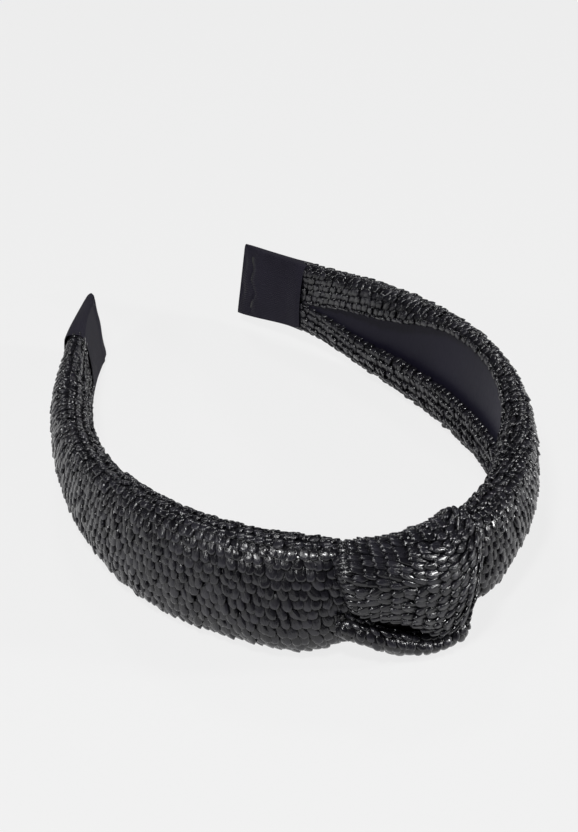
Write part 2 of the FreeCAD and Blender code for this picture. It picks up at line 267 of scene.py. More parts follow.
def knot_value(values, place):
    return float(smooth_between(KNOT_SHARES, values, (place - KNOT_LEFT) / (KNOT_RIGHT - KNOT_LEFT)))


def wrap_path(place):
    """From the curl under the pad's lower edge, up its front, over the top and down the back."""
    front, top, bottom = (knot_value(v, place) for v in (WRAP_FRONT, WRAP_TOP, WRAP_BOTTOM))
    high = top - bottom
    face = [(front - 0.2, bottom + 0.10 * high), (front + 0.3, bottom + 0.28 * high),
            (front + 0.5, bottom + 0.50 * high), (front - 0.2, bottom + 0.70 * high),
            (front - 2.4, top - 0.13 * high), (front - 5.6, top - 0.03 * high)]
    curl = [(6.4, bottom + 4.2), (front - 3.6, bottom + 1.0), (front - 1.5, bottom + 0.4)]
    back = [(0.6, top + 0.1), (-3.6, top - 2.8), (-6.6, top - 6.6), (-7.6, top - 10.6), (-7.6, 18.0),
            (-7.5, 11.0)]
    return curl + face + back


def lobe_path(place):
    """Down the back of the strap, round under it and up over the lower fold in front."""
    front, top, foot = (knot_value(v, place) for v in (LOBE_FRONT, LOBE_TOP, LOBE_FOOT))
    back = [(-6.0, foot + 9.8), (-7.0, foot + 5.6), (-6.5, foot + 2.2), (-3.6, foot + 0.4)]
    under = [(2.0, foot), (front - 3.4, foot + 0.2), (front - 1.0, foot + 1.6)]
    fold = [(front, foot + 0.4 * (top - foot) + 0.8), (front - 1.0, top - 1.0), (front - 3.4, top + 0.1),
            (5.2, top - 1.6)]
    return back + under + fold


STRAP_PLACES = np.linspace(6.0, 172.0, 90)
STRAPS = {side: Section(STRAP_PLACES, [strap_path(side, p) for p in STRAP_PLACES]) for side in (LEFT, RIGHT)}


def strap_cloth(side, place, row, lift):
    """The folded cloth of an arm: row 0 is the lower hem's fold and ROWS the upper hem's."""
    place, row, lift = np.broadcast_arrays(*(np.asarray(v, float) for v in (place, row, lift)))
    section = STRAPS[side]
    base, normal = section.look(np.abs(place), row / ROWS * section.length)
    spot = base + normal * lift[..., None]
    low, high = edges_at(side, np.abs(place))
    return at(place, spot[..., 0], spot[..., 1], (low + high) / 2.0)


KNOT_PLACES = np.linspace(KNOT_LEFT, KNOT_RIGHT, 25)
WRAP = Section(KNOT_PLACES, [wrap_path(p) for p in KNOT_PLACES])
LOBE = Section(KNOT_PLACES, [lobe_path(p) for p in KNOT_PLACES])


def rolled_strip(section, left_edge, right_edge, left_roll, right_roll, depth):
    """A strip across the crown whose two sides roll back towards the strap and run in by depth.

    Returns point(across, along, lift), with across from 0 at the left rim to 1 at the right, and the width
    from rim to rim."""
    left_end, right_end = depth + left_roll * math.pi / 2.0, depth + right_roll * math.pi / 2.0

    def point(across, along, lift):
        across, along, lift = np.broadcast_arrays(*(np.asarray(v, float) for v in (across, along, lift)))
        left, right = left_edge(along), right_edge(along)
        total = left_end + right_end + (right - left - left_roll - right_roll)
        from_left = across * total
        from_right = total - from_left
        on_left, on_right = from_left < left_end, from_right < right_end
        roll = np.where(on_left, left_roll, right_roll)
        from_rim = np.where(on_left, from_left, from_right)
        turn = np.clip((from_rim - depth) / roll, 0.0, math.pi / 2.0)
        run_in = np.where(from_rim < depth, depth - from_rim, 0.0)
        sideways = roll * (1.0 - np.cos(turn))
        flat_place = left + left_roll + (from_left - left_end)
        place = np.where(on_left, left + sideways, np.where(on_right, right - sideways, flat_place))
        rolled = on_left | on_right
        inset = np.where(rolled, roll * (1.0 - np.sin(turn)) + run_in, 0.0)
        lift_out = np.where(rolled, np.sin(turn), 1.0) * lift
        lift_side = np.where(rolled, np.cos(turn), 0.0) * lift * np.where(on_left, -1.0, 1.0)
        base, normal = section.look(place, along)
        spot = base + normal * (lift_out - inset)[..., None]
        return at(place + lift_side, spot[..., 0], spot[..., 1])

    front = section.length * 0.4
    width = (float(right_edge(front) - left_edge(front)) + 2.0 * depth
             + (left_roll + right_roll) * (math.pi / 2.0 - 1.0))
    return point, width


# -------------------------------------------------------------------------------------------- meshes
def mesh_object(name, points, loops, starts, totals, material, uv=None, tone=None, smooth=None, painted_shading=None):
    mesh = bpy.data.meshes.new(name)
    mesh.vertices.add(len(points))
    mesh.vertices.foreach_set("co", metres(points).astype(np.float32).ravel())
    mesh.loops.add(len(loops))
    mesh.loops.foreach_set("vertex_index", np.asarray(loops, np.int32))
    mesh.polygons.add(len(starts))
    mesh.polygons.foreach_set("loop_start", np.asarray(starts, np.int32))
    mesh.polygons.foreach_set("loop_total", np.asarray(totals, np.int32))
    shading = np.ones(len(starts), bool) if smooth is None else smooth
    mesh.polygons.foreach_set("use_smooth", shading)
    if uv is not None:
        layer = mesh.uv_layers.new(name="Straw")
        layer.data.foreach_set("uv", uv[np.asarray(loops)].astype(np.float32).ravel())
    for label, values in (("tone", tone), ("painted_shading", painted_shading)):
        if values is not None:
            attribute = mesh.attributes.new(label, "FLOAT", "POINT")
            attribute.data.foreach_set("value", values.astype(np.float32))
    mesh.update(calc_edges=True)
    mesh.validate()
    mesh.materials.append(material)
    obj = bpy.data.objects.new(name, mesh)
    bpy.context.scene.collection.objects.link(obj)
    return obj


def grid_faces(rows, columns, wrap=False):
    """Quads over a grid of rows x columns points, numbered row by row."""
    r, c = np.meshgrid(np.arange(rows - 1), np.arange(columns if wrap else columns - 1), indexing="ij")
    a = r * columns + c
    b = r * columns + (c + 1) % columns
    return np.stack([a, b, b + columns, a + columns], axis=-1).reshape(-1, 4)


def quads_object(name, points, quads, material, **kwargs):
    quads = np.asarray(quads)
    starts, totals = np.arange(len(quads)) * 4, np.full(len(quads), 4)
    return mesh_object(name, points, quads.ravel(), starts, totals, material, **kwargs)


def shell_object(name, top, bottom, material):
    """A closed sheet from two grids (rows, columns, 3), top outwards, joined round their rims."""
    rows, columns = top.shape[:2]
    size = rows * columns
    over = grid_faces(rows, columns)
    under = over[:, ::-1] + size
    ring = np.concatenate([np.arange(columns), np.arange(1, rows) * columns + columns - 1,
                           (rows - 1) * columns + np.arange(columns - 2, -1, -1),
                           np.arange(rows - 2, 0, -1) * columns])
    following = np.roll(ring, -1)
    rim = np.stack([following, ring, ring + size, following + size], axis=-1)
    points = np.concatenate([top.reshape(-1, 3), bottom.reshape(-1, 3)])
    return quads_object(name, points, np.concatenate([over, under, rim]), material)


def tube_object(name, points, material):
    """A tube from a grid (rings, points round, 3), closed at both ends."""
    rings, size = points.shape[:2]
    quads = grid_faces(rings, size, wrap=True)
    last = (rings - 1) * size
    loops = quads.ravel().tolist() + list(range(size)) + list(range(last + size - 1, last - 1, -1))
    starts = list(range(0, len(quads) * 4, 4)) + [len(quads) * 4, len(quads) * 4 + size]
    totals = [4] * len(quads) + [size, size]
    return mesh_object(name, points.reshape(-1, 3), loops, starts, totals, material)


# ---------------------------------------------------------------------------------------- straw leaf
LEAF_COLUMNS, LEAF_STEPS = 7, 8


def leaf_template():
    """One fold of straw: a domed scale, narrow where it is tucked in and rounded at its free tip.

    Returns for each point: across and along (+ towards the hidden end) as shares of the leaf's size, across
    again from -1 to 1 whatever the width there, and the shares of rise, rim and painted shading (painted shade
    at the tucked-in root and round the rim, painted light just short of the tip). Then the faces."""
    b_values = np.array([0.50, 0.28, 0.08, -0.12, -0.27, -0.38, -0.455, -0.50])
    width = np.array([0.72, 0.92, 1.00, 1.00, 0.93, 0.78, 0.56, 0.28])
    c_values = np.array([-1.0, -0.80, -0.42, 0.0, 0.42, 0.80, 1.0])
    b, c = np.meshgrid(b_values, c_values, indexing="ij")
    a = c * width[:, None] / 2.0
    ramp = np.interp(-b, [-0.5, -0.1, 0.3, 0.46, 0.5], [0.0, 0.46, 0.93, 1.0, 0.86])
    rim = np.zeros_like(b)
    rim[:, 0] = rim[:, -1] = 1.0
    rim[0, :] = rim[-1, :] = 1.0
    faces = [list(q) for q in grid_faces(LEAF_STEPS, LEAF_COLUMNS)]
    last = LEAF_COLUMNS - 1
    for row in range(LEAF_STEPS - 1):
        this, after = row * LEAF_COLUMNS, (row + 1) * LEAF_COLUMNS
        faces.append([this, after, after + last, this + last])
    faces.append(list(range(LEAF_COLUMNS)))
    faces.append([(LEAF_STEPS - 1) * LEAF_COLUMNS + k for k in range(last, -1, -1)])
    # Painted shading: darkest at the tucked-in root, where the row above shades it, and round the rim, and
    # lightest just short of the free tip, where the leaf catches the light.
    painted_shading = np.interp(-b, [-0.5, -0.1, 0.25, 0.44, 0.5], [0.0, 0.25, 0.85, 1.0, 0.2]) * (1.0 - rim)
    return a.ravel(), b.ravel(), c.ravel(), ramp.ravel(), rim.ravel(), painted_shading.ravel(), faces


LEAF_A, LEAF_B, LEAF_C, LEAF_RAMP, LEAF_RIM, LEAF_PAINTED_SHADING, LEAF_FACES = leaf_template()
TOP_FACES = (LEAF_STEPS - 1) * (LEAF_COLUMNS - 1)


# How much leaves differ: four shares of a leaf's size drawn evenly, then the middle and spread of two
# bell-shaped draws.
WIDE_SPREAD, LONG_SPREAD, RISE_SPREAD, DOME_SPREAD = (0.88, 1.14), (0.90, 1.12), (0.80, 1.20), (0.6, 1.35)
LEAN_SPREAD, SKEW_SPREAD = (0.10, 0.12), (0.14, 0.14)
ROW_SHIFT, PLACE_SPREAD = 0.12, 0.07      # shares of the pitch
ROW_SPREAD = 0.035                        # share of a row
UV_SPREAD = 50.0                          # how far apart leaves lie in the straw's pattern


def lay_leaves(name, point, rows, start, end, material, seed, pitch=2.25, width=2.9, length=4.7,
               rise=1.30, dome=0.34, side=0.62, base=-1.42, slant=(8.0, 26.0), flip=1.0, jitter=7.0):
    """Rows of leaves over a cloth. point(along, row, lift) places them; their tips point to lower rows."""
    random = np.random.default_rng(seed)
    centres, row_of, row_slant = [], [], []
    for row in rows:
        first = start + (0.5 * (row % 2) + random.uniform(-ROW_SHIFT, ROW_SHIFT)) * pitch
        spots = np.arange(first, end, pitch)
        centres.append(spots + random.normal(0.0, PLACE_SPREAD, len(spots)) * pitch)
        row_of.append(np.full(len(spots), row + 0.5) + random.normal(0.0, ROW_SPREAD, len(spots)))
        row_slant.append(np.full(len(spots), random.uniform(*slant)))
    centres, row_of = np.concatenate(centres), np.concatenate(row_of)
    count = len(centres)
    angle = np.radians(np.concatenate(row_slant) + random.normal(0.0, jitter, count)) * flip
    wide = width * random.uniform(*WIDE_SPREAD, count)
    long = length * random.uniform(*LONG_SPREAD, count)
    high = rise * random.uniform(*RISE_SPREAD, count)
    domed = dome * random.uniform(*DOME_SPREAD, count)
    lean = random.normal(*LEAN_SPREAD, count) * flip
    skew = random.normal(*SKEW_SPREAD, count) * flip
    a = LEAF_A[None] * wide[:, None] + skew[:, None] * np.clip(-LEAF_B[None], 0, 1) * wide[:, None]
    b = LEAF_B[None] * long[:, None]
    lift = (base + high[:, None] * LEAF_RAMP[None] + domed[:, None] * (1.0 - LEAF_C[None] ** 4)
            + lean[:, None] * LEAF_C[None] - side * LEAF_RIM[None])
    cos, sin = np.cos(angle)[:, None], np.sin(angle)[:, None]
    along = centres[:, None] + a * cos - b * sin
    row = row_of[:, None] + (a * sin + b * cos) / ROW_MM
    points = point(along, row, lift)
    per_leaf = len(LEAF_A)
    loops = np.concatenate([np.array(f) for f in LEAF_FACES])
    totals = np.array([len(f) for f in LEAF_FACES])
    starts = np.concatenate([[0], np.cumsum(totals)[:-1]])
    all_loops = (loops[None] + np.arange(count)[:, None] * per_leaf).ravel()
    all_starts = (starts[None] + np.arange(count)[:, None] * len(loops)).ravel()
    all_totals = np.tile(totals, count)
    offset = random.uniform(0.0, UV_SPREAD, (count, 1, 2))
    uv = (np.stack([a, b], axis=-1) + offset).reshape(-1, 2)
    tone = np.repeat(random.uniform(0.0, 1.0, count), per_leaf)
    smooth = np.tile(np.arange(len(LEAF_FACES)) < TOP_FACES, count)
    return mesh_object(name, points.reshape(-1, 3), all_loops, all_starts, all_totals, material,
                       uv=uv, tone=tone, smooth=smooth, painted_shading=np.tile(LEAF_PAINTED_SHADING, count))


# ----------------------------------------------------------------------------------------- materials
class Nodes:
    """A short way to write a node tree."""

    def __init__(self, name):
        self.material = bpy.data.materials.new(name)
        self.material.use_nodes = True
        self.tree = self.material.node_tree
        self.shader = self.tree.nodes["Principled BSDF"]

    def add(self, kind, inputs=None, **settings):
        node = self.tree.nodes.new(kind)
        for key, value in settings.items():
            setattr(node, key, value)
        for key, value in (inputs or {}).items():
            if isinstance(value, bpy.types.NodeSocket):
                self.tree.links.new(value, node.inputs[key])
            else:
                node.inputs[key].default_value = value
        return node

    def set(self, **values):
        for key, value in values.items():
            socket = self.shader.inputs[key.replace("_", " ")]
            if isinstance(value, bpy.types.NodeSocket):
                self.tree.links.new(value, socket)
            else:
                socket.default_value = value

    def maths(self, operation, first, second):
        return self.add("ShaderNodeMath", {0: first, 1: second}, operation=operation).outputs[0]

    def mix(self, share, first, second):
        node = self.add("ShaderNodeMix", {0: share, 6: first, 7: second}, data_type="RGBA")
        return node.outputs[2]

    def spread(self, value, low, high):
        return self.add("ShaderNodeMapRange", {0: value, 3: low, 4: high}).outputs[0]

    def noise(self, vector, scale, detail=3.0, roughness=0.55):
        node = self.add("ShaderNodeTexNoise", {"Vector": vector, "Scale": scale, "Detail": detail,
                                               "Roughness": roughness})
        return node.outputs["Fac"]

    def stretched(self, vector, scale):
        return self.add("ShaderNodeMapping", {"Vector": vector, "Scale": scale}).outputs[0]

    def bump(self, height, distance, strength, normal=None):
        inputs = {"Height": height, "Distance": distance, "Strength": strength}
        if normal is not None:
            inputs["Normal"] = normal
        return self.add("ShaderNodeBump", inputs).outputs[0]

    def place(self):
        return self.add("ShaderNodeTexCoord").outputs["Object"]


def straw_material(name, dark, light, rough_low, rough_high):
    n = Nodes(name)
    place = n.place()
    leaf = n.add("ShaderNodeUVMap", uv_map="Straw").outputs[0]
    tone = n.add("ShaderNodeAttribute", attribute_name="tone").outputs["Fac"]
    fibres = n.noise(n.stretched(leaf, (7.5, 0.4, 1.0)), 1.0, 3.0, 0.6)
    creases = n.noise(n.stretched(leaf, (1.4, 0.5, 1.0)), 1.0, 1.0)
    patches = n.noise(place, 90.0, 2.0)
    shade = n.maths("ADD", n.maths("MULTIPLY", tone, 0.55), n.maths("MULTIPLY", fibres, 0.45))
    # The leaves' painted shading goes into the base colour: painted shade at each root and rim, painted light
    # near each tip.
    painted_shading = n.add("ShaderNodeAttribute", attribute_name="painted_shading").outputs["Fac"]
    shade = n.maths("MULTIPLY", shade, n.spread(patches, 0.7, 1.3))
    tone_with_painted_shading = n.maths("MULTIPLY", shade, n.spread(painted_shading, 0.0, 1.25))
    gloss = n.maths("ADD", n.maths("MULTIPLY", tone, 0.5), n.maths("MULTIPLY", creases, 0.5))
    n.set(Base_Color=n.mix(tone_with_painted_shading, dark, light), Roughness=n.spread(gloss, rough_low, rough_high),
          Normal=n.bump(fibres, 0.00012, 0.5, n.bump(creases, 0.0004, 0.5)))
    n.shader.inputs["Specular IOR Level"].default_value = 0.42
    n.shader.inputs["Coat Weight"].default_value = 0.25
    n.shader.inputs["Coat Roughness"].default_value = 0.10
    return n.material


def backing_material():
    n = Nodes("straw_backing")
    weave = n.noise(n.place(), 1400.0, 3.0)
    n.set(Base_Color=n.mix(weave, (0.004, 0.004, 0.004, 1), (0.010, 0.009, 0.009, 1)),
          Roughness=n.spread(weave, 0.6, 0.85), Normal=n.bump(weave, 0.0002, 0.6))
    return n.material


def satin_material():
    n = Nodes("navy_satin")
    place = n.place()
    threads = n.noise(n.stretched(place, (2600.0, 2600.0, 500.0)), 1.0, 2.0)
    soft = n.noise(place, 45.0, 2.0)
    shade = n.maths("MULTIPLY", soft, 0.9)
    n.set(Base_Color=n.mix(shade, (0.0028, 0.0023, 0.0066, 1), (0.0074, 0.0061, 0.0155, 1)),
          Roughness=n.spread(threads, 0.42, 0.60),
          Normal=n.bump(threads, 0.00003, 0.35, n.bump(soft, 0.0006, 0.25)))
    n.shader.inputs["Specular IOR Level"].default_value = 0.16
    n.shader.inputs["Sheen Weight"].default_value = 0.05
    n.shader.inputs["Sheen Roughness"].default_value = 0.5
    n.shader.inputs["Sheen Tint"].default_value = (0.55, 0.55, 0.8, 1.0)
    return n.material


def ribbon_material():
    n = Nodes("ribbed_ribbon")
    place = n.place()
    threads = n.noise(place, 2600.0, 2.0)
    soft = n.noise(place, 110.0, 2.0)
    n.set(Base_Color=n.mix(soft, (0.0062, 0.0054, 0.0105, 1), (0.0140, 0.0124, 0.0220, 1)),
          Roughness=n.spread(threads, 0.55, 0.78), Normal=n.bump(threads, 0.00005, 0.5))
    n.shader.inputs["Specular IOR Level"].default_value = 0.14
    n.shader.inputs["Sheen Weight"].default_value = 0.04
    n.shader.inputs["Sheen Roughness"].default_value = 0.45
    return n.material


def plastic_material():
    n = Nodes("hoop_plastic")
    place = n.place()
    grain = n.noise(place, 900.0, 3.0)
    flow = n.noise(place, 60.0, 2.0)
    n.set(Base_Color=n.mix(flow, (0.010, 0.010, 0.011, 1), (0.018, 0.018, 0.019, 1)),
          Roughness=n.spread(grain, 0.32, 0.48), Normal=n.bump(grain, 0.00003, 0.3))
    return n.material


def wadding_material():
    n = Nodes("grey_wadding")
    fibres = n.noise(n.stretched(n.place(), (900.0, 900.0, 2500.0)), 1.0, 4.0)
    n.set(Base_Color=n.mix(fibres, (0.06, 0.06, 0.06, 1), (0.13, 0.13, 0.125, 1)), Roughness=0.95,
          Normal=n.bump(fibres, 0.0003, 0.8))
    n.shader.inputs["Sheen Weight"].default_value = 0.4
    return n.material


STRAW = straw_material("black_straw", (0.0020, 0.0019, 0.0025, 1), (0.0165, 0.0158, 0.0215, 1), 0.15, 0.36)
BACKING = backing_material()
SATIN = satin_material()
RIBBON = ribbon_material()
PLASTIC = plastic_material()
WADDING = wadding_material()

for node in ("hoop_crown", "hoop_left", "hoop_right"):
    mesh = frame["nodes"][node].data
    mesh.materials.clear()
    mesh.materials.append(PLASTIC)

# ----------------------------------------------------------------------------------------- arm straw
# The places where each arm's straw starts and ends, and the rows in each of its pieces.
STRAP_SPANS = {LEFT: (-163.5, -9.5), RIGHT: (9.5, 168.6)}
STRAP_PIECES = {"lower_hem": range(0, 9), "outer": range(9, 17), "upper_hem": range(17, ROWS)}
STRAP_SEED = {LEFT: 20, RIGHT: 30}
# Between these distances from the crown the leaves come to lie closer, by this share.
THIN_FROM, THIN_TO, THIN_SHARE = 115.0, 168.0, 0.35
# How far the backing cloth's two faces lie within a section's own path.
STRAP_BACKING, KNOT_BACKING = (-1.30, -1.80), (-1.25, -1.70)


def bend_over_hinge(obj):
    """Bakes the object's placement into its mesh; the object stays unbent and is attached to no body."""
    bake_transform(obj)


def make_strap(side):
    word = WORD[side]
    start, end = STRAP_SPANS[side]

    def point(along, row, lift):
        thin = 1.0 - THIN_SHARE * smoothstep(np.abs(along), THIN_FROM, THIN_TO)
        return strap_cloth(side, along, row, lift * thin)

    for index, (part, rows) in enumerate(STRAP_PIECES.items()):
        obj = lay_leaves("straw_%s_leaves_%s" % (part, word), point, rows, start, end, STRAW,
                         seed=STRAP_SEED[side] + index, flip=-side)
        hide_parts("straw_%s_%s" % (part, word))
        bend_over_hinge(obj)
    places, rows = np.linspace(start, end, 100), np.linspace(-0.1, ROWS + 0.1, 90)
    grid_place, grid_row = np.meshgrid(places, rows, indexing="ij")
    faces = [strap_cloth(side, grid_place, grid_row, lift) for lift in STRAP_BACKING]
    cloth = shell_object("straw_cloth_" + word, *faces, BACKING)
    bend_over_hinge(cloth)


for side in (LEFT, RIGHT):
    make_strap(side)


# ---------------------------------------------------------------------------------------------- knot
WRAP_LEAVES = dict(pitch=1.9, width=2.3, length=4.9, slant=(-28.0, -2.0), rise=1.3, dome=0.42, side=0.65,
                   jitter=12.0)
LOBE_LEAVES = dict(pitch=2.0, width=2.4, length=4.4, slant=(-8.0, 12.0), rise=1.1, dome=0.42)
EDGE_SHARE = 0.42    # share of a strip's path over which its edge moves from one place to the other
FIRST_LEAF, LAST_LEAF = 0.4, 0.2     # from a strip's two ends to the middles of its end leaves
ROW_MARGIN = 0.02    # rows kept clear of a strip's rims


def lean_edge(at_foot, at_top, section):
    """The edge of a strip, moving from one place to another between its foot and its top."""
    def edge(along):
        return at_foot + (at_top - at_foot) * smoothstep(along, 0.0, section.length * EDGE_SHARE)
    return edge


def make_knot_piece(name, section, edges, rolls, depth, seed, rows_run_up, style):
    """A strip of the knot and its leaves, whose rows run up the strip or else across it."""
    point, width = rolled_strip(section, *edges, *rolls, depth)
    breadth, length = (width, section.length) if rows_run_up else (section.length, width)
    rows = range(int(round(breadth / ROW_MM)))

    def leaf_point(along, row, lift):
        share = np.clip(row, ROW_MARGIN, len(rows) - ROW_MARGIN) / len(rows)
        along = np.clip(along, 0.0, length)
        if rows_run_up:
            return point(share, along, lift)
        return point(along / width, section.length * share, lift)

    leaves = lay_leaves(name + "_leaves", leaf_point, rows, FIRST_LEAF, length - LAST_LEAF, STRAW, seed,
                        **style)
    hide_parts(name)
    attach(leaves, "crown")
    grids = np.meshgrid(np.linspace(0.0, 1.0, 50), np.linspace(0.0, section.length, 110), indexing="ij")
    cloth = shell_object(name + "_cloth", *(point(*grids, lift) for lift in KNOT_BACKING), BACKING)
    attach(cloth, "crown")


make_knot_piece("knot_wrap", WRAP, (lean_edge(-14.2, -17.8, WRAP), lean_edge(10.4, 15.4, WRAP)),
                rolls=(2.4, 1.5), depth=2.2, seed=61, rows_run_up=True,
                style=WRAP_LEAVES)
make_knot_piece("knot_lobe", LOBE, (lean_edge(-17.6, -17.6, LOBE), lean_edge(12.3, 12.3, LOBE)),
                rolls=(2.0, 2.0), depth=1.2, seed=62, rows_run_up=False,
                style=LOBE_LEAVES)


# ---------------------------------------------------------------------------- the strap in the knot
CORE_SHARES = np.array([0.0, 0.25, 0.5, 0.75, 1.0])
CORE_LOW, CORE_HIGH, CORE_END = [3.8, 4.2, 4.8, 5.6, 6.2], [30.0, 30.0, 30.0, 30.0, 29.8], 19.4
CORE_REACH = 12.5    # from the crown to either end of the modelled pleats
CORE_MIDDLE, CORE_HALF, CORE_TRIM = 0.25, 5.3, 0.4
# At the right of the hollow under the pad the gathered cloth swells forward by this much.
CORE_BULGE, BULGE_FROM, BULGE_TO = 4.5, -1.0, 7.0
PLEATS, PLEAT_DEPTH = 17, 0.22


def make_core():
    """The gathered strap that runs on through the knot, pleated where the knot pulls it together."""
    places = np.linspace(-CORE_REACH, CORE_REACH, 60)
    turn = np.linspace(0.0, 2.0 * math.pi, 120, endpoint=False)
    grid_place, grid_turn = np.meshgrid(places, turn, indexing="ij")
    cos, sin = np.cos(grid_turn), np.sin(grid_turn)
    share = (grid_place + CORE_END) / (2.0 * CORE_END)
    low, high = smooth_between(CORE_SHARES, CORE_LOW, share), smooth_between(CORE_SHARES, CORE_HIGH, share)
    pleat = PLEAT_DEPTH * np.cos(grid_turn * PLEATS + 0.6 * np.sin(grid_place * 0.5))
    reach = CORE_HALF + CORE_BULGE * smoothstep(grid_place, BULGE_FROM, BULGE_TO) * (cos > 0.0)
    out = CORE_MIDDLE + reach * signed_power(cos, 0.5)
    height = (low + high) / 2.0 + signed_power(sin, 0.7) * ((high - low) / 2.0 - CORE_TRIM)
    obj = tube_object("knot_core_pleats", at(grid_place, out + pleat * cos, height + pleat * sin), BACKING)
    obj.data.flip_normals()
    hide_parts("knot_core", "knot_inner_fold")
    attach(obj, "crown")


make_core()


# -------------------------------------------------------------------------------------------- lining
LINING_START, LINING_END = 8.0, 168.0
LINING_OUT, LINING_THICKNESS, LINING_CROWN = -1.25, 0.28, 0.55
# From the strap's edges to the lining's. The last is added where the upper hem rolls right over.
LOWER_GAP, UPPER_GAP, ROLLED_GAP = 2.6, 1.7, 1.2


def lining_grid(side, places, inward):
    """One face of the lining, a little fuller in the middle than at its edges."""
    low, high = edges_at(side, np.abs(places))
    roll = smooth_between(SHARES, UPPER_ROLL[side], np.abs(places) / HALF_LENGTH)
    bottom, top = low + LOWER_GAP, high - (UPPER_GAP + ROLLED_GAP * smoothstep(roll, 118.0, 170.0))
    across = np.linspace(0.0, 1.0, 40)
    height = bottom[:, None] + (top - bottom)[:, None] * across[None]
    out = LINING_OUT - inward - LINING_CROWN * 4.0 * (across * (1.0 - across))[None]
    return at(places[:, None], out, height, ((low + high) / 2.0)[:, None])


def make_lining(side):
    places = side * np.linspace(LINING_START, LINING_END, 110)
    faces = [lining_grid(side, places, inward) for inward in (0.0, LINING_THICKNESS)]
    obj = shell_object("satin_lining_" + WORD[side], *faces, SATIN)
    if side == RIGHT:
        obj.data.flip_normals()
    covered = ["lining_" + WORD[side]] + (["lining_crown"] if side == RIGHT else [])
    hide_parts(*covered)
    bend_over_hinge(obj)


for side in (LEFT, RIGHT):
    make_lining(side)


# ------------------------------------------------------------------------------------------- padding
PAD_START, PAD_END, PAD_TAPER = 21.6, 149.7, 5.0
PAD_IN, PAD_COVER, PAD_THINNEST = 1.0, 2.6, 0.6    # out to its inner face, straw over it, least thickness


def make_padding(side):
    """A flat pillow of wadding between the hoop and the outer straw."""
    word = WORD[side]
    places = side * np.linspace(PAD_START + 0.2, PAD_END - 0.2, 90)
    turn = np.linspace(0.0, 2.0 * math.pi, 40, endpoint=False)
    grid_place, grid_turn = np.meshgrid(places, turn, indexing="ij")
    distance = np.abs(grid_place)
    low, high = edges_at(side, distance)
    ends = np.clip(np.minimum(distance - PAD_START, PAD_END - distance) / PAD_TAPER, 0.02, 1.0) ** 0.5
    depth = np.maximum(strap_half(distance) - PAD_COVER, PAD_THINNEST) / 2.0
    out = PAD_IN + depth + depth * ends * signed_power(np.cos(grid_turn), 0.6)
    reach = (high - low) / 2.0 - strap_half(distance) + 1.0
    height = (low + high) / 2.0 + reach * ends * signed_power(np.sin(grid_turn), 0.8)
    obj = tube_object("wadding_" + word, at(grid_place, out, height, (low + high) / 2.0), WADDING)
    if side == RIGHT:
        obj.data.flip_normals()
    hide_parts("padding_" + word)
    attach(obj, word + "_arm")


for side in (LEFT, RIGHT):
    make_padding(side)


# ------------------------------------------------------------------------------------------- ribbons
RIB_PITCH, RIB_DEPTH = 0.55, 0.075
RIBBON_FIRST, RIBBON_LAST = {LEFT: 161.6, RIGHT: 167.6}, {LEFT: 189.3, RIGHT: 190.2}
RIBBON_ROUND = 620          # points round the sleeve, enough for its ribs
FINE_FROM = 184.0           # from here to the tip the rings are closer
CREASE_PLACE, CREASE_DEPTH, CREASE_WIDTH = 186.2, 0.75, 0.55
FOLD_BEFORE, FOLD_DEPTH, FOLD_WIDTH = 2.0, 0.30, 0.9      # the raised fold beside the crease
CORNER_PULL, END_WAVE = 1.3, 0.3


